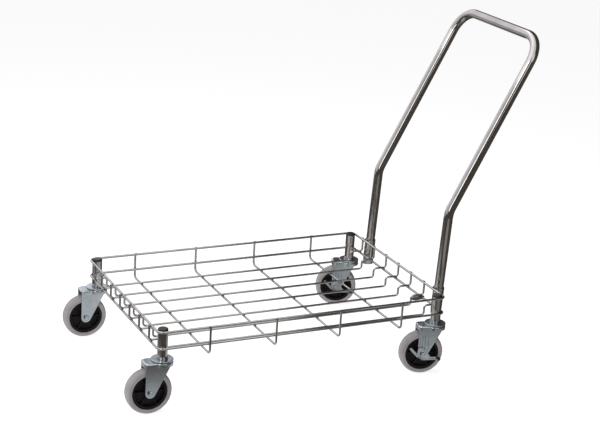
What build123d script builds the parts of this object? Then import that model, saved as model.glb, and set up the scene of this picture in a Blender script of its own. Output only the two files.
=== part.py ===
from build123d import *
import os
from math import atan2, cos, radians, sin, sqrt, tan

# Wire-basket platform trolley: X runs along the length towards the handle, Y across, Z up.
# The origin is on the floor, at the middle of the rectangle between the four posts.
# All sizes are in millimetres.

# ---- basket ----
ring_length = 856.0          # centre line of the perimeter wires, along X
ring_width = 574.0           # centre line of the perimeter wires, along Y
ring_r = 3.25                # perimeter wire, radius
top_ring_z = 228.5
low_ring_z = 182.0
wire_r = 3.0                 # floor wires, radius
long_pitch = 77.0            # spacing of the lengthwise wires
long_count = 7
cross_pitch = 191.0          # spacing of the crosswise wires
cross_count = 4
shelf_inset = 34.0           # how far the end shelf reaches in from the perimeter wire
shelf_bend_r = 8.0
floor_z = 161.0              # centre line of the lengthwise wires on the floor
cross_bend_r = 12.0
wire_end_rise = 1.0          # wire ends stand this far above the top ring's centre line

# ---- corner posts ----
post_r = 14.0
post_wall = 1.5
post_bottom_z = 154.0
post_top_z = 229.0
cap_r = 13.9
cap_top_z = 235.0
cap_edge_r = 3.0
cap_plug_depth = 14.0
press_gap = 0.05

# ---- handle and its sockets ----
tube_r = 13.5
tube_wall = 1.5
handle_half_width = 210.5
kink_z = 454.5
top_out = 283.0              # top bar's centre line beyond the perimeter wire
top_bar_z = 939.0
leg_lean = 2.7               # degrees off vertical, below the kink
leg_foot_z = 170.0
kink_bend_r = 70.0
top_bend_r = 68.0
socket_r = 16.0
socket_fit = 0.15
socket_top_z = 231.0
socket_taper_z = 170.0
socket_bottom_z = 152.5
socket_foot_r = 11.0
socket_floor = 4.0
pad_width = 12.0
pad_height = 6.0
weld_gap = 0.02              # keeps the leaning sleeve from cutting into the low ring

# ---- casters ----
edge_break = 1.0             # small chamfers and roundings
wheel_r = 62.5
wheel_width = 34.0
trail = 36.0                 # axle behind the swivel axis
crown_top_z = 146.0
crown_plate = 3.0
crown_wall = 2.5
crown_skirt_z = 134.0
crown_r = 30.0
crown_round = 5.0            # rounding of the pressed crown's top edge
crown_half_width = 23.0
hood_reach = 53.0            # crown behind the swivel axis
hood_corner_r = 14.0
leg_inner = 19.0             # half the gap between the fork legs
leg_plate = 2.5
leg_end_r = 14.0
leg_front = 17.0             # leading edge of the leg where it meets the crown
leg_ribs = (-7.0, 0.5, 8.0, 17.5)    # stiffening ribs on braked casters, ahead of the axle
leg_rib_length = 46.0
leg_rib_width = 5.0
leg_rib_rise = 1.3
leg_rib_round = 1.1
leg_rib_up = 34.5            # middle of the ribs above the axle
race_r = 20.0
ball_r = 2.5
ball_groove_gap = 0.05
ball_count = 16
race_z = 146.8
plate_top_z = 150.5
plate_edge_r = 1.2
stem_r = 6.0
stem_top_z = 186.0
stem_fit = 0.08
kingpin_head_r = 10.0
kingpin_head_z = 137.0
kingpin_gap = 0.3
insert_top_z = 182.0
collar_r = 15.5
axle_r = 4.0
axle_fit = 0.05
sleeve_r = 6.0
hub_r = 13.0
hub_gap = 0.5
bolt_af = 13.0               # across flats of the axle bolt and nut
bolt_head = 5.3
nut_height = 6.5
washer_r = 8.5
washer_height = 1.5
bolt_tail = 2.0
core_r = 48.8
rim_inner_r = 41.0
rim_half_width = 14.0
web_half_width = 4.0
rib_half_width = 10.0
rib_thickness = 3.0
rib_count = 6
tread_lock_depth = 3.0
tread_lock_half = 5.0
tread_flat_half = 7.0
tread_shoulder_r = 57.0
tread_crown_r = 13.0         # rounding between the running face and the side

# ---- side brakes, on the two handle-end casters ----
lever_gap = 0.1              # running clearance on each face of the lever
lever_plate = 2.0
lever_rim = 4.5              # total depth with the turned-out rim
lever_rim_wall = 1.8
lever_corner_r = 2.0
# corners of the body, ahead of and above the axle, before the corner radius is added
lever_body = ((-13, 18), (-3, 19.5), (6, 12), (21, -8), (21, -13), (3, -13), (-9, -8), (-15, 0))
tail_root = (-14.0, -5.0)
tail_tip = (-35.5, 17.5)
tail_width = 7.0
pedal_tip = (46.5, -11.5)
pedal_width = 5.0            # pedal arm before the corner radius is added
pedal_size = 5.5
pedal_out = 10.0
grip_wall = 1.3
grip_gap = 0.3

# each caster: corner of the basket, resting swivel angle about +Z in degrees, braked or not
casters = {
    "left_front": (-1, -1, -2.0, False),
    "left_back": (-1, 1, -3.0, False),
    "right_front": (1, -1, -14.0, True),
    "right_back": (1, 1, -23.0, True),
}

half_l = ring_length / 2
half_w = ring_width / 2
corner_r = post_r + ring_r          # the rings bend round the posts
post_x = half_l - corner_r
post_y = half_w - corner_r
post_spots = [(sx * post_x, sy * post_y) for sx, sy, angle, braked in casters.values()]
wire_out = ring_r + wire_r          # wires lie outside the rings
cross_z = floor_z - 2 * wire_r
wire_top_z = top_ring_z + wire_end_rise


def save(part, node):
    """Name the piece and write it to its own file."""
    part.label = node
    export_step(part, f"parts/{node}.step")


# ---------------------------------------------------------------- perimeter rings
def perimeter_ring(level):
    """Closed rectangular wire loop, bent round the corner posts."""
    with BuildPart() as loop:
        with BuildLine(Plane.XY.offset(level)) as path:
            Polyline((-half_l, -half_w), (half_l, -half_w), (half_l, half_w), (-half_l, half_w), close=True)
            fillet(path.vertices(), radius=corner_r)
        with BuildSketch(Plane(origin=(0, -half_w, level), z_dir=(1, 0, 0))):
            Circle(ring_r)
        sweep(path=path.wires()[0])
    return loop.part


save(perimeter_ring(top_ring_z), "ring_top")
save(perimeter_ring(low_ring_z), "ring_low")


# ---------------------------------------------------------------- floor wires
def bent_wire(plane, points, bend_radius):
    """Round wire swept along a polyline with rounded bends."""
    with BuildPart() as wire:
        with BuildLine(plane) as path:
            FilletPolyline(*points, radius=bend_radius)
        with BuildSketch(Plane(origin=path.line @ 0, z_dir=path.line % 0)):
            Circle(wire_r)
        sweep(path=path.line)
    return wire.part


# Lengthwise wires: down the outside of the top ring, in over the low ring, and down to the floor.
shelf_z = low_ring_z + wire_out
end_x = half_l + wire_out
step_x = half_l - shelf_inset
long_half = [
    (end_x, wire_top_z),
    (end_x, shelf_z),
    (step_x, shelf_z),
    (step_x, floor_z),
]
long_points = [(-x, z) for x, z in long_half] + [(x, z) for x, z in reversed(long_half)]
for index in range(long_count):
    wire_y = ((long_count - 1) / 2 - index) * long_pitch
    save(bent_wire(Plane.XZ.offset(-wire_y), long_points, shelf_bend_r), f"long_wire_{index + 1}")

# Crosswise wires: U shapes outside both rings, passing under the lengthwise wires.
side_y = half_w + wire_out
cross_points = [(-side_y, wire_top_z), (-side_y, cross_z), (side_y, cross_z), (side_y, wire_top_z)]
for index in range(cross_count):
    wire_x = (index - (cross_count - 1) / 2) * cross_pitch
    save(bent_wire(Plane.YZ.offset(wire_x), cross_points, cross_bend_r), f"cross_wire_{index + 1}")


# ---------------------------------------------------------------- corner posts
post_inner_r = post_r - post_wall
for tag, (sx, sy, angle, braked) in casters.items():
    with BuildPart() as post:
        with BuildSketch(Plane.XY.offset(post_bottom_z)):
            with Locations((sx * post_x, sy * post_y)):
                Circle(post_r)
                Circle(post_inner_r, mode=Mode.SUBTRACT)
        extrude(amount=post_top_z - post_bottom_z)
    save(post.part, f"post_{tag}")

# Push-in caps, one solid per post.
with BuildPart() as post_caps:
    with BuildSketch(Plane.XY.offset(post_top_z)):
        with Locations(*post_spots):
            Circle(cap_r)
    extrude(amount=cap_top_z - post_top_z)
    fillet(post_caps.edges().group_by(Axis.Z)[-1], radius=cap_edge_r)
    with BuildSketch(Plane.XY.offset(post_top_z)):
        with Locations(*post_spots):
            Circle(post_inner_r - press_gap)
    extrude(amount=-cap_plug_depth)
save(post_caps.part, "post_caps")

# Threaded plugs pressed into the feet of the posts, one solid per post.
with BuildPart() as post_inserts:
    with BuildSketch(Plane.XY.offset(post_bottom_z)):
        with Locations(*post_spots):
            Circle(post_inner_r - press_gap)
            Circle(stem_r + press_gap, mode=Mode.SUBTRACT)
    extrude(amount=insert_top_z - post_bottom_z)
save(post_inserts.part, "post_inserts")


# ---------------------------------------------------------------- handle sockets
lean = radians(leg_lean)
socket_x = half_l + ring_r + socket_r + weld_gap        # stands against the low ring
socket_dir = Vector(sin(lean), 0, cos(lean))


def on_leg(height):
    """X of the leaning leg's centre line at a height."""
    return socket_x + (height - low_ring_z) * tan(lean)


def leg_plane(height, side):
    """Plane square to the leaning leg, centred on it."""
    return Plane(origin=(on_leg(height), side * handle_half_width, height), z_dir=socket_dir)


for side, name in ((-1, "front"), (1, "back")):
    with BuildPart() as socket:
        with BuildSketch(leg_plane(socket_taper_z, side)):
            Circle(socket_r)
        extrude(amount=(socket_top_z - socket_taper_z) / cos(lean))
        with BuildSketch(leg_plane(socket_taper_z, side)):
            Circle(socket_r)
        with BuildSketch(leg_plane(socket_bottom_z, side)):
            Ellipse(socket_r, socket_foot_r)
        loft()
        # weld pad that fills the gap to the top ring
        with BuildSketch(Plane.XY.offset(top_ring_z - pad_height / 2)):
            with Locations(((half_l + socket_x) / 2 + ring_r / 2, side * handle_half_width)):
                Rectangle(socket_x - half_l - ring_r, pad_width)
        extrude(amount=pad_height)
        with BuildSketch(leg_plane(socket_bottom_z + socket_floor, side)):
            Circle(socket_foot_r - tube_wall)
        with BuildSketch(leg_plane(socket_taper_z, side)):
            Circle(tube_r + socket_fit)
        loft(mode=Mode.SUBTRACT)
        with BuildSketch(leg_plane(socket_taper_z, side)):
            Circle(tube_r + socket_fit)
        extrude(amount=(socket_top_z - socket_taper_z + tube_r) / cos(lean), mode=Mode.SUBTRACT)
    save(socket.part, f"handle_socket_{name}")

# ---------------------------------------------------------------- handle
kink_x = on_leg(kink_z)
top_x = half_l + top_out
foot_x = on_leg(leg_foot_z)
with BuildPart() as handle:
    with BuildLine() as handle_path:
        front_leg = [
            (foot_x, -handle_half_width, leg_foot_z),
            (kink_x, -handle_half_width, kink_z),
            (top_x, -handle_half_width, top_bar_z),
        ]
        back_leg = [(x, -y, z) for x, y, z in reversed(front_leg)]
        bends = (kink_bend_r, top_bend_r, top_bend_r, kink_bend_r)
        FilletPolyline(*front_leg, *back_leg, radius=bends)
    with BuildSketch(Plane(origin=handle_path.line @ 0, z_dir=handle_path.line % 0)):
        Circle(tube_r)
        Circle(tube_r - tube_wall, mode=Mode.SUBTRACT)
    sweep(path=handle_path.line)
save(handle.part, "handle")


# ---------------------------------------------------------------- caster parts fixed to the posts
with BuildPart() as race_plates:
    with BuildSketch(Plane.XY.offset(race_z)):
        with Locations(*post_spots):
            Circle(crown_r)
            Circle(stem_r + press_gap, mode=Mode.SUBTRACT)
    extrude(amount=plate_top_z - race_z)
    plate_rims = race_plates.edges().filter_by(GeomType.CIRCLE).group_by(SortBy.RADIUS)[-1]
    fillet(plate_rims.group_by(Axis.Z)[-1], radius=plate_edge_r)
    with Locations(*[(x, y, race_z) for x, y in post_spots]):
        Torus(race_r, ball_r + ball_groove_gap, mode=Mode.SUBTRACT)
save(race_plates.part, "race_plates")

with BuildPart() as stem_collars:
    with BuildSketch(Plane.XY.offset(plate_top_z)):
        with Locations(*post_spots):
            Circle(collar_r)
            Circle(stem_r + press_gap, mode=Mode.SUBTRACT)
    extrude(amount=post_bottom_z - plate_top_z)
save(stem_collars.part, "stem_collars")

with BuildPart() as kingpins:
    head_top_z = crown_top_z - crown_plate - kingpin_gap
    with BuildSketch(Plane.XY.offset(kingpin_head_z)):
        with Locations(*post_spots):
            Circle(kingpin_head_r)
    extrude(amount=head_top_z - kingpin_head_z)
    chamfer(kingpins.edges().group_by(Axis.Z)[0], length=(head_top_z - kingpin_head_z) / 3)
    with BuildSketch(Plane.XY.offset(head_top_z)):
        with Locations(*post_spots):
            Circle(stem_r)
    extrude(amount=stem_top_z - head_top_z)
    chamfer(kingpins.edges().group_by(Axis.Z)[-1], length=edge_break)
save(kingpins.part, "kingpins")

with BuildPart() as race_balls:
    with Locations(*[(x, y, race_z) for x, y in post_spots]):
        with PolarLocations(race_r, ball_count):
            Sphere(ball_r)
save(race_balls.part, "race_balls")

# ---------------------------------------------------------------- caster parts that swivel
axle_point = (-trail, 0, wheel_r)
axle_axis = Axis(axle_point, (0, 1, 0))
profile_plane = Plane(origin=axle_point, x_dir=(0, 1, 0), z_dir=(1, 0, 0))
leg_outer = leg_inner + leg_plate
lock_r = core_r - tread_lock_depth      # bottom of the groove that holds the tread


def side_plane(y):
    """Upright plane through the axle's height and X, at a distance y from the middle; faces -Y."""
    return Plane(origin=(-trail, y, wheel_r), x_dir=(1, 0, 0), z_dir=(0, -1, 0))


def hexagon_radius(across_flats):
    """Corner radius of a hexagon."""
    return across_flats / sqrt(3)


def crown_outline(inset):
    """Round over the swivel axis, square over the wheel; inset moves the whole outline in."""
    Circle(crown_r - inset)
    with Locations((-hood_reach + inset, 0)):
        Rectangle(hood_reach - inset, 2 * (crown_half_width - inset), align=(Align.MIN, Align.CENTER))


def build_fork(braked):
    """Pressed fork: crown with a skirt all round, two tapered legs and the lower ball groove."""
    with BuildPart() as fork:
        with BuildSketch(Plane.XY.offset(crown_skirt_z)) as outline:
            crown_outline(0)
            hood_corners = outline.vertices().group_by(Axis.X)[0]
            fillet(hood_corners, radius=hood_corner_r)
        extrude(amount=crown_top_z - crown_skirt_z)
        fillet(fork.edges().group_by(Axis.Z)[-1], radius=crown_round)
        with BuildSketch(Plane.XY.offset(crown_skirt_z)) as hollow:
            crown_outline(crown_wall)
            hollow_corners = hollow.vertices().group_by(Axis.X)[0]
            fillet(hollow_corners, radius=hood_corner_r - crown_wall)
        extrude(amount=crown_top_z - crown_plate - crown_skirt_z, mode=Mode.SUBTRACT)
        # legs: straight trailing edge, slanted leading edge, round end
        leg_top = crown_top_z - crown_plate - wheel_r
        slant_top = crown_skirt_z - wheel_r
        reach = leg_front + trail
        # the slanted edge leaves the round end where it is tangent to it
        slant = atan2(slant_top, reach) + atan2(leg_end_r, sqrt(reach**2 + slant_top**2 - leg_end_r**2))
        tangent_x = leg_end_r * sin(slant)
        tangent_z = -leg_end_r * cos(slant)
        for y in (-leg_inner, leg_outer):
            with BuildSketch(side_plane(y)):
                Circle(leg_end_r)
                Polygon(
                    (-leg_end_r, 0),
                    (tangent_x, tangent_z),
                    (reach, slant_top),
                    (reach, leg_top),
                    (-leg_end_r, leg_top),
                    align=None,
                )
            extrude(amount=leg_plate)
        if braked:
            for y in (-leg_outer, leg_outer + leg_rib_rise):
                with BuildSketch(side_plane(y)):
                    with Locations(*[(x, leg_rib_up) for x in leg_ribs]):
                        SlotOverall(leg_rib_length, leg_rib_width, rotation=90)
                extrude(amount=leg_rib_rise)
            rib_face = leg_outer + leg_rib_rise
            for y in (-rib_face, rib_face):
                rib_rims = fork.edges().filter_by_position(Axis.Y, y - press_gap, y + press_gap)
                fillet(rib_rims, radius=leg_rib_round)
        with Locations(Plane(origin=axle_point, z_dir=(0, 1, 0))):
            Hole(radius=axle_r + axle_fit)
        with Locations((0, 0, crown_top_z)):
            Hole(radius=stem_r + stem_fit)
        with Locations((0, 0, race_z)):
            Torus(race_r, ball_r + ball_groove_gap, mode=Mode.SUBTRACT)
    return fork.part


def build_sleeve():
    """Spacer tube clamped between the legs; the wheel turns on it."""
    with BuildPart() as sleeve:
        with BuildSketch(side_plane(leg_inner)):
            Circle(sleeve_r)
            Circle(axle_r + axle_fit, mode=Mode.SUBTRACT)
        extrude(amount=2 * leg_inner)
    return sleeve.part


def build_core():
    """Moulded wheel centre: hub, thin web with ribs on both faces, and rim with a locking groove."""
    hub_half = leg_inner - hub_gap
    with BuildPart() as core:
        with BuildSketch(profile_plane):
            with BuildLine():
                Polyline(
                    (-hub_half, sleeve_r + axle_fit),
                    (hub_half, sleeve_r + axle_fit),
                    (hub_half, hub_r - edge_break),
                    (hub_half - edge_break, hub_r),
                    (web_half_width, hub_r + edge_break),
                    (web_half_width, rim_inner_r),
                    (rim_half_width, rim_inner_r + edge_break),
                    (rim_half_width, core_r),
                    (tread_lock_half, core_r),
                    (tread_lock_half, lock_r),
                    (-tread_lock_half, lock_r),
                    (-tread_lock_half, core_r),
                    (-rim_half_width, core_r),
                    (-rim_half_width, rim_inner_r + edge_break),
                    (-web_half_width, rim_inner_r),
                    (-web_half_width, hub_r + edge_break),
                    (-hub_half + edge_break, hub_r),
                    (-hub_half, hub_r - edge_break),
                    close=True,
                )
            make_face()
        revolve(axis=axle_axis)
        with BuildSketch(side_plane(rib_half_width)):
            with PolarLocations((rim_inner_r + hub_r) / 2, rib_count):
                Rectangle(rim_inner_r - hub_r + 2 * edge_break, rib_thickness)
        extrude(amount=2 * rib_half_width)
    return core.part


def build_tread():
    """Rubber tread with rounded shoulders, wrapping the rim."""
    half = wheel_width / 2
    with BuildPart() as tread:
        with BuildSketch(profile_plane):
            with BuildLine():
                Line((-tread_flat_half, wheel_r), (tread_flat_half, wheel_r))
                RadiusArc((tread_flat_half, wheel_r), (half, tread_shoulder_r), tread_crown_r)
                Line((half, tread_shoulder_r), (half, core_r))
                Line((half, core_r), (tread_lock_half, core_r))
                Line((tread_lock_half, core_r), (tread_lock_half, lock_r))
                Line((tread_lock_half, lock_r), (-tread_lock_half, lock_r))
                Line((-tread_lock_half, lock_r), (-tread_lock_half, core_r))
                Line((-tread_lock_half, core_r), (-half, core_r))
                Line((-half, core_r), (-half, tread_shoulder_r))
                RadiusArc((-half, tread_shoulder_r), (-tread_flat_half, wheel_r), tread_crown_r)
            make_face()
        revolve(axis=axle_axis)
    return tread.part


def build_bolt(tail_y):
    """Axle bolt: hexagonal head outside the far leg, shank through to tail_y."""
    with BuildPart() as bolt:
        with BuildSketch(side_plane(leg_outer + bolt_head)):
            RegularPolygon(radius=hexagon_radius(bolt_af), side_count=6)
        extrude(amount=bolt_head)
        with BuildSketch(side_plane(leg_outer)):
            Circle(axle_r)
        extrude(amount=leg_outer - tail_y)
        chamfer(bolt.edges().group_by(Axis.Y)[0], length=edge_break / 2)
    return bolt.part


def build_nut(seat_y):
    """Hexagonal nut seated at seat_y on the near side."""
    with BuildPart() as nut:
        with BuildSketch(side_plane(seat_y)):
            RegularPolygon(radius=hexagon_radius(bolt_af), side_count=6)
            Circle(axle_r + axle_fit, mode=Mode.SUBTRACT)
        extrude(amount=nut_height)
        chamfer(nut.edges().group_by(Axis.Y)[0].filter_by(GeomType.LINE), length=edge_break / 2)
    return nut.part


def build_washer(seat_y):
    """Plain washer between the leg and the brake lever."""
    with BuildPart() as washer:
        with BuildSketch(side_plane(seat_y)):
            Circle(washer_r)
            Circle(axle_r + axle_fit, mode=Mode.SUBTRACT)
        extrude(amount=washer_height)
    return washer.part


lever_y = -(leg_outer + washer_height + lever_gap)


def rounded_bar(start, end, width):
    """Round-ended bar between two points, added to the current sketch."""
    middle = ((start[0] + end[0]) / 2, (start[1] + end[1]) / 2)
    SlotCenterPoint(middle, end, width)


def lever_outline(growth):
    """Body and pedal arm of the lever in the current sketch, grown all round."""
    Polygon(*lever_body, align=None)
    rounded_bar((0, pedal_tip[1]), pedal_tip, pedal_width)
    offset(amount=growth, mode=Mode.REPLACE)


def build_lever():
    """Stamped brake lever: turned-out rim, flat tail arm and a foot tab on the pedal arm."""
    with BuildPart() as lever:
        with BuildSketch(side_plane(lever_y)):
            lever_outline(lever_corner_r)
        extrude(amount=lever_rim)
        with BuildSketch(side_plane(lever_y - lever_plate)):
            lever_outline(lever_corner_r - lever_rim_wall)
        extrude(amount=lever_rim, mode=Mode.SUBTRACT)
        with BuildSketch(side_plane(lever_y)):
            rounded_bar(tail_root, tail_tip, tail_width)
        extrude(amount=lever_plate)
        with BuildSketch(side_plane(lever_y)):
            with Locations(pedal_tip):
                RectangleRounded(pedal_size, pedal_size, edge_break)
        extrude(amount=pedal_out + lever_plate)
        with BuildSketch(side_plane(lever_y)):
            Circle(axle_r + 2 * axle_fit)
        extrude(amount=lever_plate, mode=Mode.SUBTRACT)
    return lever.part


def build_grip():
    """Moulded cap pushed over the foot tab."""
    grip_start = lever_y - lever_rim - grip_gap
    tab_end = lever_y - lever_plate - pedal_out
    outside = pedal_size + 2 * grip_wall
    with BuildPart() as grip:
        with BuildSketch(side_plane(grip_start)):
            with Locations(pedal_tip):
                RectangleRounded(outside, outside, edge_break + grip_wall)
        extrude(amount=grip_start - tab_end + grip_wall)
        fillet(grip.edges().group_by(Axis.Y)[0], radius=edge_break)
        with BuildSketch(side_plane(grip_start)):
            with Locations(pedal_tip):
                RectangleRounded(pedal_size, pedal_size, edge_break)
        extrude(amount=grip_start - tab_end, mode=Mode.SUBTRACT)
    return grip.part


for tag, (sx, sy, angle, braked) in casters.items():
    at_post = Location((sx * post_x, sy * post_y, 0), (0, 0, angle))
    nut_seat = -leg_outer
    if braked:
        nut_seat = lever_y - lever_plate - lever_gap
        save(build_washer(-leg_outer).moved(at_post), f"brake_washer_{tag}")
        save(build_lever().moved(at_post), f"brake_lever_{tag}")
        save(build_grip().moved(at_post), f"brake_grip_{tag}")
    save(build_fork(braked).moved(at_post), f"fork_{tag}")
    save(build_sleeve().moved(at_post), f"axle_sleeve_{tag}")
    save(build_bolt(nut_seat - nut_height - bolt_tail).moved(at_post), f"axle_bolt_{tag}")
    save(build_nut(nut_seat).moved(at_post), f"axle_nut_{tag}")
    save(build_core().moved(at_post), f"wheel_core_{tag}")
    save(build_tread().moved(at_post), f"wheel_tread_{tag}")
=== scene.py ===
import math

import bmesh
import bpy
from mathutils import Matrix, Vector, noise


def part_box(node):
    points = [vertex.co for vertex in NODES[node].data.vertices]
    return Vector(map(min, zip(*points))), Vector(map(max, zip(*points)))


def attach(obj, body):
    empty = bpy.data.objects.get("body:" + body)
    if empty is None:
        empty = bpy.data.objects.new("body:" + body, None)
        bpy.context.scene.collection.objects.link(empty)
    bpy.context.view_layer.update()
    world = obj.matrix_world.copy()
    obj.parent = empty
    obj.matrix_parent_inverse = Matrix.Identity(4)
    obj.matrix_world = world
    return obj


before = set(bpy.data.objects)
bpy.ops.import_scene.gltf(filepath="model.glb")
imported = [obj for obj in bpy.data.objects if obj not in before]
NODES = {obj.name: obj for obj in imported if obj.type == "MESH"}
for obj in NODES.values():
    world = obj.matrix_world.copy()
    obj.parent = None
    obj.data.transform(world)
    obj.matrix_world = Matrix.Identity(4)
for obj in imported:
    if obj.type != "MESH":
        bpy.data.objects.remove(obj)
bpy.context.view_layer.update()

# Wire-basket platform trolley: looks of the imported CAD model.
# Everything is in metres in the CAD frame: X along the length towards the handle, Z up.

SCENE = bpy.context.scene
X_AXIS, Y_AXIS, Z_AXIS = range(3)


# ------------------------------------------------------------------ node helpers
class Nodes:
    """The node tree of a material or a world, cleared, with short ways to fill it."""

    def __init__(self, block):
        block.use_nodes = True
        self.tree = block.node_tree
        self.tree.nodes.clear()

    def add(self, kind, inputs=None, **settings):
        """Adds a node; inputs go by name or number, and take values or other nodes' outputs."""
        node = self.tree.nodes.new(kind)
        for key, value in settings.items():
            setattr(node, key, value)
        for key, value in (inputs or {}).items():
            self.feed(node.inputs[key], value)
        return node

    def feed(self, socket, value):
        """Gives an input another node's output, an RGB colour or any other plain value."""
        if isinstance(value, bpy.types.NodeSocket):
            self.tree.links.new(value, socket)
        elif socket.type == "RGBA":
            socket.default_value = (*value, 1.0)
        else:
            socket.default_value = value

    def remap(self, value, span, to=(0.0, 1.0), smooth=False):
        """Takes the values of one span to those of the other, and stops at its ends."""
        ends = {"From Min": span[0], "From Max": span[1], "To Min": to[0], "To Max": to[1]}
        course = "SMOOTHSTEP" if smooth else "LINEAR"
        node = self.add("ShaderNodeMapRange", {"Value": value, **ends}, interpolation_type=course)
        return node.outputs["Result"]

    def math(self, operation, a, b):
        return self.add("ShaderNodeMath", {0: a, 1: b}, operation=operation).outputs["Value"]

    def dot(self, a, b):
        node = self.add("ShaderNodeVectorMath", {0: a, 1: b}, operation="DOT_PRODUCT")
        return node.outputs["Value"]

    def mix(self, factor, a, b):
        """Colour a where the factor is 0, and colour b where it is 1."""
        return self.add("ShaderNodeMix", {0: factor, 6: a, 7: b}, data_type="RGBA").outputs[2]

    def show(self, ray, seen, otherwise, output):
        """Ends the tree: that kind of ray meets the first shader, every other ray the second."""
        is_ray = self.add("ShaderNodeLightPath").outputs[ray]
        shaders = {1: otherwise.outputs[0], 2: seen.outputs[0]}
        either = self.add("ShaderNodeMixShader", {0: is_ray, **shaders})
        self.add(output, {"Surface": either.outputs[0]})


# How far a bevelled normal agrees with the true one, on a flat and on an edge
FLAT_TO_EDGE = (0.99, 0.80)


class Surface(Nodes):
    """A material built round one Principled shader, textured in the object's own coordinates."""

    def __init__(self, name, principled):
        self.mat = bpy.data.materials.new(name)
        super().__init__(self.mat)
        self.shader = self.add("ShaderNodeBsdfPrincipled", principled)
        self.add("ShaderNodeOutputMaterial", {"Surface": self.shader.outputs["BSDF"]})
        self.place = self.add("ShaderNodeTexCoord").outputs["Object"]

    def stretched(self, scale):
        node = self.add("ShaderNodeMapping", {"Vector": self.place, "Scale": scale})
        return node.outputs["Vector"]

    def noise(self, scale, detail=3.0, roughness=0.55, stretch=(1, 1, 1)):
        settings = {"Scale": scale, "Detail": detail, "Roughness": roughness}
        node = self.add("ShaderNodeTexNoise", {"Vector": self.stretched(stretch), **settings})
        return node.outputs["Fac"]

    def cells(self, scale):
        place = self.stretched((1, 1, 1))
        node = self.add("ShaderNodeTexVoronoi", {"Vector": place, "Scale": scale})
        return node.outputs["Color"]

    def edges(self, radius):
        """1 along sharp edges, within about the radius, and 0 elsewhere."""
        rounded = self.add("ShaderNodeBevel", {"Radius": radius}, samples=6).outputs["Normal"]
        true = self.add("ShaderNodeNewGeometry").outputs["Normal"]
        return self.remap(self.dot(rounded, true), FLAT_TO_EDGE)

    def open_air(self, distance):
        """1 in the open, falling to 0 in corners within the distance."""
        node = self.add("ShaderNodeAmbientOcclusion", {"Distance": distance}, samples=8)
        return node.outputs["AO"]

    def finish(self, colour, roughness, height, strength, depth):
        """Puts colour, roughness and relief on the shader and gives the material."""
        bump = {"Height": height, "Strength": strength, "Distance": depth}
        relief = self.add("ShaderNodeBump", bump).outputs["Normal"]
        for key, value in (("Base Color", colour), ("Roughness", roughness), ("Normal", relief)):
            self.feed(self.shader.inputs[key], value)
        return self.mat


# ------------------------------------------------------------------ materials
# What to remap a noise from
MOST = (0.30, 0.70)           # nearly all its values
MORE_LOW = (0.35, 0.70)       # the same, with more of them at the low end
FEWER_HIGH = (0.30, 0.75)     # the same, with fewer of them at the high end
CRESTS = (0.40, 0.70)         # about its upper half
PEAKS = (0.60, 0.72)          # its few highest values

# What to remap the open air of a corner from, for narrow and for wide painted shade in corners
NARROW_CORNER_SHADE, WIDE_CORNER_SHADE = (0.25, 0.85), (0.20, 0.80)

# Painted shade that darkens the chrome in corners and where wires meet
CHROME_CORNER_SHADE = (0.13, 0.11, 0.10)
DRAW_LINE_ROUGHNESS = (0.0, 0.05)

ZINC_BRIGHT, ZINC_DULL = (0.62, 0.68, 0.71), (0.50, 0.56, 0.59)
ZINC_SPANGLE, SPANGLE_SHARE = (0.70, 0.72, 0.71), 0.18
# The last colour is painted shade, which darkens the zinc in corners
ZINC_EDGE, ZINC_CORNER_SHADE = (0.90, 0.91, 0.91), (0.07, 0.07, 0.07)

RUBBER_CLEAN, RUBBER_DARK = (0.385, 0.358, 0.364), (0.305, 0.283, 0.288)
RUBBER_SCUFF, SCUFF_SHARE = (0.52, 0.50, 0.49), (0.0, 0.5)

PLASTIC_EDGE, EDGE_SHARE = (0.10, 0.09, 0.085), 0.3

STEEL_BRIGHT, STEEL_OILY = (0.60, 0.60, 0.60), (0.42, 0.38, 0.32)


def chrome(name, stretch, light, dark, roughness):
    """Nickel-chrome on drawn steel: faint draw lines, dull specks, painted shade in corners.

    The stretch is small along the axes that the draw lines follow.
    """
    s = Surface(name, {"Metallic": 1.0})
    cloud = s.noise(scale=18.0, detail=4.0)
    lines = s.noise(scale=900.0, detail=2.0, stretch=stretch)
    tone = s.mix(s.remap(cloud, MORE_LOW), light, dark)
    # Painted shade: the colour darkens in corners and joints, where ambient occlusion finds little
    # open air
    corner_shaded = s.mix(s.remap(s.open_air(distance=0.004), NARROW_CORNER_SHADE), CHROME_CORNER_SHADE, tone)
    dull = s.remap(cloud, FEWER_HIGH, to=roughness)
    lined = s.math("ADD", dull, s.remap(lines, CRESTS, to=DRAW_LINE_ROUGHNESS))
    return s.finish(corner_shaded, lined, height=lines, strength=0.05, depth=0.0002)


def zinc(name, roughness):
    """Bright zinc plate over pressed steel: bluish, faintly spangled, scuffed on the edges, with
    painted shade in corners.
    """
    s = Surface(name, {"Metallic": 1.0})
    cloud = s.noise(scale=35.0, detail=5.0, roughness=0.6)
    fine = s.noise(scale=1400.0, detail=2.0)
    base = s.mix(s.remap(cloud, MORE_LOW), ZINC_BRIGHT, ZINC_DULL)
    spangle = s.math("MULTIPLY", s.cells(scale=420.0), SPANGLE_SHARE)
    spangled = s.mix(spangle, base, ZINC_SPANGLE)
    edged = s.mix(s.edges(radius=0.0008), spangled, ZINC_EDGE)
    # Painted shade: the colour darkens in corners, where ambient occlusion finds little open air
    corner_shaded = s.mix(s.remap(s.open_air(distance=0.006), WIDE_CORNER_SHADE), ZINC_CORNER_SHADE, edged)
    dull = s.remap(cloud, FEWER_HIGH, to=roughness)
    return s.finish(corner_shaded, dull, height=fine, strength=0.08, depth=0.0002)


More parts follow.
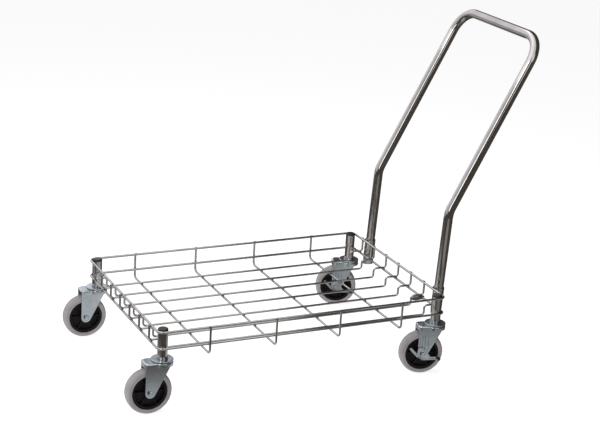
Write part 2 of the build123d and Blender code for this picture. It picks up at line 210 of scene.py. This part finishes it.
def rubber(name, shine, roughness):
    """Grey non-marking tread rubber: matt, dusty, with fine mould grain and light scuffs."""
    s = Surface(name, {"Specular IOR Level": shine})
    cloud = s.noise(scale=30.0, detail=5.0)
    grain = s.noise(scale=1600.0, detail=3.0)
    scuff = s.noise(scale=160.0, detail=6.0, roughness=0.7)
    base = s.mix(s.remap(cloud, MOST), RUBBER_CLEAN, RUBBER_DARK)
    scuffed = s.mix(s.remap(scuff, PEAKS, to=SCUFF_SHARE), base, RUBBER_SCUFF)
    dull = s.remap(scuff, MOST, to=roughness)
    return s.finish(scuffed, dull, height=grain, strength=0.25, depth=0.0004)


def plastic(name, dark, light, shine, roughness, grain_strength):
    """Moulded black plastic with a spark-eroded grain and pale scuffs on its edges."""
    s = Surface(name, {"Specular IOR Level": shine})
    cloud = s.noise(scale=25.0, detail=4.0)
    grain = s.noise(scale=2200.0, detail=2.0)
    base = s.mix(s.remap(cloud, MOST), dark, light)
    edged = s.mix(s.math("MULTIPLY", s.edges(radius=0.0006), EDGE_SHARE), base, PLASTIC_EDGE)
    dull = s.remap(cloud, MOST, to=roughness)
    return s.finish(edged, dull, height=grain, strength=grain_strength, depth=0.0003)


def polished_steel(name, roughness):
    """Ground bearing steel."""
    s = Surface(name, {"Metallic": 1.0})
    film = s.noise(scale=300.0, detail=3.0)
    tone = s.mix(s.remap(film, MOST), STEEL_BRIGHT, STEEL_OILY)
    dull = s.remap(film, MOST, to=roughness)
    return s.finish(tone, dull, height=film, strength=0.03, depth=0.0001)


# Stretches of the draw lines
ALONG_X, ALONG_Y, ALONG_Z = (0.02, 1, 1), (1, 0.02, 1), (1, 1, 0.02)
ALONG_X_AND_Y = (0.1, 0.1, 1)
NO_WAY = (1, 1, 1)

WIRE = {"light": (0.66, 0.65, 0.64), "dark": (0.52, 0.51, 0.50), "roughness": (0.04, 0.11)}
TUBE = {"light": (0.62, 0.60, 0.58), "dark": (0.50, 0.48, 0.46), "roughness": (0.03, 0.09)}
BURNT = {"light": (0.34, 0.30, 0.28), "dark": (0.17, 0.145, 0.13), "roughness": (0.22, 0.45)}
FINISHES = {
    "wire_along": chrome("wire_along", ALONG_X, **WIRE),
    "wire_across": chrome("wire_across", ALONG_Y, **WIRE),
    "wire_ring": chrome("wire_ring", ALONG_X_AND_Y, **WIRE),
    "tube": chrome("tube", ALONG_Z, **TUBE),
    "weld": chrome("weld", NO_WAY, **BURNT),
    "zinc": zinc("zinc", roughness=(0.16, 0.28)),
    "tread": rubber("tread", shine=0.35, roughness=(0.55, 0.78)),
    "core": plastic(
        "core", dark=(0.010, 0.0075, 0.0080), light=(0.016, 0.012, 0.013), shine=0.15,
        roughness=(0.38, 0.55), grain_strength=0.25,
    ),
    "cap": plastic(
        "cap", dark=(0.018, 0.013, 0.010), light=(0.030, 0.022, 0.017), shine=0.5,
        roughness=(0.16, 0.30), grain_strength=0.10,
    ),
    "ball": polished_steel("ball", roughness=(0.10, 0.25)),
}

# Start of a CAD node's name -> its finish; the first that fits counts
FINISH_OF = (
    ("ring_", "wire_ring"),
    ("long_wire_", "wire_along"),
    ("cross_wire_", "wire_across"),
    ("post_caps", "cap"),
    ("post_inserts", "zinc"),
    ("post_", "tube"),
    ("handle", "tube"),
    ("race_balls", "ball"),
    ("wheel_core_", "core"),
    ("wheel_tread_", "tread"),
    ("brake_grip_", "cap"),
    ("", "zinc"),
)
for node_name, node in NODES.items():
    finish = next(finish for start, finish in FINISH_OF if node_name.startswith(start))
    node.data.materials.clear()
    node.data.materials.append(FINISHES[finish])


# ------------------------------------------------------------------ welds
# Half sizes of the beads along X, Y and Z
WELD_FLAT = (0.0036, 0.0036, 0.0014)
WELD_ON_TOP = (0.0038, 0.0042, 0.0016)
WELD_ON_END = (0.0016, 0.0042, 0.0034)
WELD_ON_SIDE = (0.0042, 0.0016, 0.0034)
HEAVY_WELD = (0.021, 0.0085, 0.0072)
HEAVY_WELD_INSET = 0.014

WELD_LUMPS = 0.35      # how far the lumps stand out, as a share of the bead's size
LUMP_SCALE = 2.2       # how many lumps go round a bead
LUMP_SHIFT = 900.0     # how fast the lumps change from bead to bead


def bead(mesh, place, size):
    """One lumpy ellipsoid of weld metal, of the given half sizes, added to the mesh."""
    start = len(mesh.verts)
    bmesh.ops.create_icosphere(mesh, subdivisions=3, radius=1.0)
    mesh.verts.ensure_lookup_table()
    for vert in mesh.verts[start:]:
        lump = 1.0 + WELD_LUMPS * noise.noise(LUMP_SCALE * vert.co + LUMP_SHIFT * Vector(place))
        vert.co = Vector(place) + Vector(a * b * lump for a, b in zip(vert.co, size))


def middle(box, axis):
    low, high = box
    return (low[axis] + high[axis]) / 2


def weld_places():
    """Where two wires of the basket touch, and the half sizes of the bead there."""
    ring_low, ring_high = (Vector(corner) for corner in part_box("ring_top"))
    ring_radius = (ring_high.z - ring_low.z) / 2
    end, side = ring_high.x - ring_radius, ring_high.y - ring_radius
    top_level, low_level = (middle(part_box(name), Z_AXIS) for name in ("ring_top", "ring_low"))
    long_wires = [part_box(name) for name in sorted(NODES) if name.startswith("long_wire_")]
    cross_wires = [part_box(name) for name in sorted(NODES) if name.startswith("cross_wire_")]
    for wire in long_wires:
        y = middle(wire, Y_AXIS)
        for x in (-end, end):
            yield (x + math.copysign(ring_radius, x), y, top_level), WELD_ON_END
            yield (x, y, low_level + ring_radius), WELD_ON_TOP
        for cross_wire in cross_wires:
            yield (middle(cross_wire, X_AXIS), y, wire[0][Z_AXIS]), WELD_FLAT
    for wire in cross_wires:
        x = middle(wire, X_AXIS)
        for y in (-side, side):
            for level in (top_level, low_level):
                yield (x, y + math.copysign(ring_radius, y), level), WELD_ON_SIDE
    # one heavy, burnt bead at the handle end of the second lengthwise wire from the front
    y = middle(long_wires[-2], Y_AXIS)
    (_, y_low, _), (_, y_high, _) = long_wires[0]
    wire_radius = (y_high - y_low) / 2
    yield (end - HEAVY_WELD_INSET, y - wire_radius, low_level), HEAVY_WELD


weld_mesh = bmesh.new()
for place, size in weld_places():
    bead(weld_mesh, place, size)
weld_data = bpy.data.meshes.new("weld_beads")
weld_mesh.to_mesh(weld_data)
weld_mesh.free()
weld_data.shade_smooth()
weld_data.materials.append(FINISHES["weld"])
weld_beads = bpy.data.objects.new("weld_beads", weld_data)
SCENE.collection.objects.link(weld_beads)
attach(weld_beads, "basket")


# ------------------------------------------------------------------ floor
FLOOR_SIZE = 60.0
FLOOR_PALE = {
    "Base Color": (0.5, 0.5, 0.5),
    "Roughness": 0.9,
    "Specular IOR Level": 0.0,
    "Emission Color": (1.0, 1.0, 1.0),
    "Emission Strength": 0.80,
}

# The floor as metal sees it: dark, with light patches. A patch has its share of the light, and
# where it starts, is full, is still full and ends, along X and along Y.
FLOOR_LIGHT = (0.56, 0.57, 0.58)
FLOOR_DARK = (0.080, 0.070, 0.060)
FLOOR_PATCHES = (
    (1.00, (-0.95, -0.50, 0.02, 0.20), (-0.62, -0.30, 0.20, 0.34)),    # under the free end
    (0.25, (0.00, 0.10, 0.45, 0.55), (-0.62, -0.30, 0.20, 0.34)),      # under the handle end
    (0.80, (0.20, 0.30, 0.60, 0.80), (-0.80, -0.40, 0.05, 0.20)),      # before the braked casters
    (0.30, (0.05, 0.20, 0.70, 0.90), (-1.60, -1.30, -0.72, -0.58)),    # in front of the handle
    (0.50, (-0.60, -0.40, 0.50, 0.70), (-1.90, -1.60, -1.20, -1.00)),  # far in front
    (0.80, (-9.00, -8.00, 8.00, 9.00), (1.00, 2.00, 8.00, 9.00)),      # far behind
)


def floor_material():
    """A pale, even floor, which mirror reflections meet as a dark one with light patches."""
    mat = bpy.data.materials.new("studio_floor")
    nodes = Nodes(mat)
    spot = nodes.add("ShaderNodeTexCoord").outputs["Object"]
    place = nodes.add("ShaderNodeSeparateXYZ", {0: spot})
    light = 0.0
    for share, *spans in FLOOR_PATCHES:
        patch = share
        for axis, (start, full, still_full, end) in zip("XY", spans):
            for span in ((start, full), (end, still_full)):
                fade = nodes.remap(place.outputs[axis], span, smooth=True)
                patch = nodes.math("MULTIPLY", patch, fade)
        light = nodes.math("MAXIMUM", light, patch)
    tone = nodes.mix(light, FLOOR_DARK, FLOOR_LIGHT)
    mirrored = nodes.add("ShaderNodeEmission", {"Color": tone})
    pale = nodes.add("ShaderNodeBsdfPrincipled", FLOOR_PALE)
    nodes.show("Is Glossy Ray", mirrored, otherwise=pale, output="ShaderNodeOutputMaterial")
    return mat


bpy.ops.mesh.primitive_plane_add(size=FLOOR_SIZE)
floor = bpy.context.object
floor.name = "studio_floor"
floor.data.materials.append(floor_material())


# ------------------------------------------------------------------ lights
def softbox(name, place, target, size, power, lights=True, mirrored=True):
    """Rectangular lamp that lights matt surfaces, is mirrored in metal, or both."""
    data = bpy.data.lights.new(name, "AREA")
    data.shape = "RECTANGLE"
    data.size, data.size_y = size
    data.energy = power
    lamp = bpy.data.objects.new(name, data)
    lamp.location = place
    lamp.rotation_euler = (Vector(target) - lamp.location).to_track_quat("-Z", "Y").to_euler()
    lamp.visible_camera = False
    lamp.visible_diffuse = lights
    lamp.visible_glossy = mirrored
    SCENE.collection.objects.link(lamp)


# name, place, target, size, watts
softbox("overhead", (-0.25, 0.2, 2.2), (-0.25, 0.2, 0.0), (2.6, 2.6), 30, mirrored=False)
softbox("ceiling_panel", (-0.3, -0.3, 2.1), (-0.3, -0.3, 0.0), (2.5, 3.6), 23, lights=False)
softbox("front_panel", (0.50, -3.5, 2.2), (0.50, 0.0, 2.2), (2.5, 1.8), 12.5, lights=False)
softbox("strip", (-1.9, -1.75, 1.65), (0.6, -0.2, 0.7), (0.8, 1.6), 9, lights=False)
softbox("key", (-2.6, -0.8, 1.6), (0.0, 0.0, 0.3), (1.2, 1.6), 22, mirrored=False)

# The room, which the camera meets as plain white: soft lobes over a dim base. A lobe has its
# direction, the cosines where it starts and is full, and its colour.
WHITE = (1.0, 1.0, 1.0)
ROOM_BASE = (0.07, 0.065, 0.06)
ROOM_LOBES = (
    ((-0.75, 0.40, 0.50), 0.45, 0.90, (0.62, 0.63, 0.65)),
    ((-0.25, 0.93, 0.25), 0.76, 0.86, (0.95, 0.93, 1.00)),
)
SCENE.world = bpy.data.worlds.new("studio")
world = Nodes(SCENE.world)
direction = world.add("ShaderNodeTexCoord").outputs["Generated"]
room = ROOM_BASE
for toward, start, full, tone in ROOM_LOBES:
    facing = world.dot(direction, Vector(toward).normalized())
    room = world.mix(world.remap(facing, (start, full), smooth=True), room, tone)
lit = world.add("ShaderNodeBackground", {"Color": room})
plain = world.add("ShaderNodeBackground", {"Color": WHITE})
world.show("Is Camera Ray", plain, otherwise=lit, output="ShaderNodeOutputWorld")

SCENE.view_settings.view_transform = "Standard"


# ------------------------------------------------------------------ camera
# Standing height, in front of the trolley's left half, slightly rolled
CAMERA_PLACE = Vector((-1.77641, -3.78061, 1.81785))
CAMERA_AZIMUTH, CAMERA_ELEVATION, CAMERA_ROLL = (math.radians(v) for v in (-26.363, 18.339, 3.540))
CAMERA_LENS, CAMERA_SENSOR = 93.994, 36.0
back = Vector((
    math.sin(CAMERA_AZIMUTH) * math.cos(CAMERA_ELEVATION),
    -math.cos(CAMERA_AZIMUTH) * math.cos(CAMERA_ELEVATION),
    math.sin(CAMERA_ELEVATION),
))
level = Vector((math.cos(CAMERA_AZIMUTH), math.sin(CAMERA_AZIMUTH), 0))
upright = back.cross(level)
right = math.cos(CAMERA_ROLL) * level + math.sin(CAMERA_ROLL) * upright
up = -math.sin(CAMERA_ROLL) * level + math.cos(CAMERA_ROLL) * upright
camera = bpy.data.objects.new("camera", bpy.data.cameras.new("camera"))
camera.data.sensor_width = CAMERA_SENSOR
camera.data.lens = CAMERA_LENS
turn = Matrix((right, up, back)).transposed().to_4x4()
camera.matrix_world = Matrix.Translation(CAMERA_PLACE) @ turn
SCENE.collection.objects.link(camera)
SCENE.camera = camera
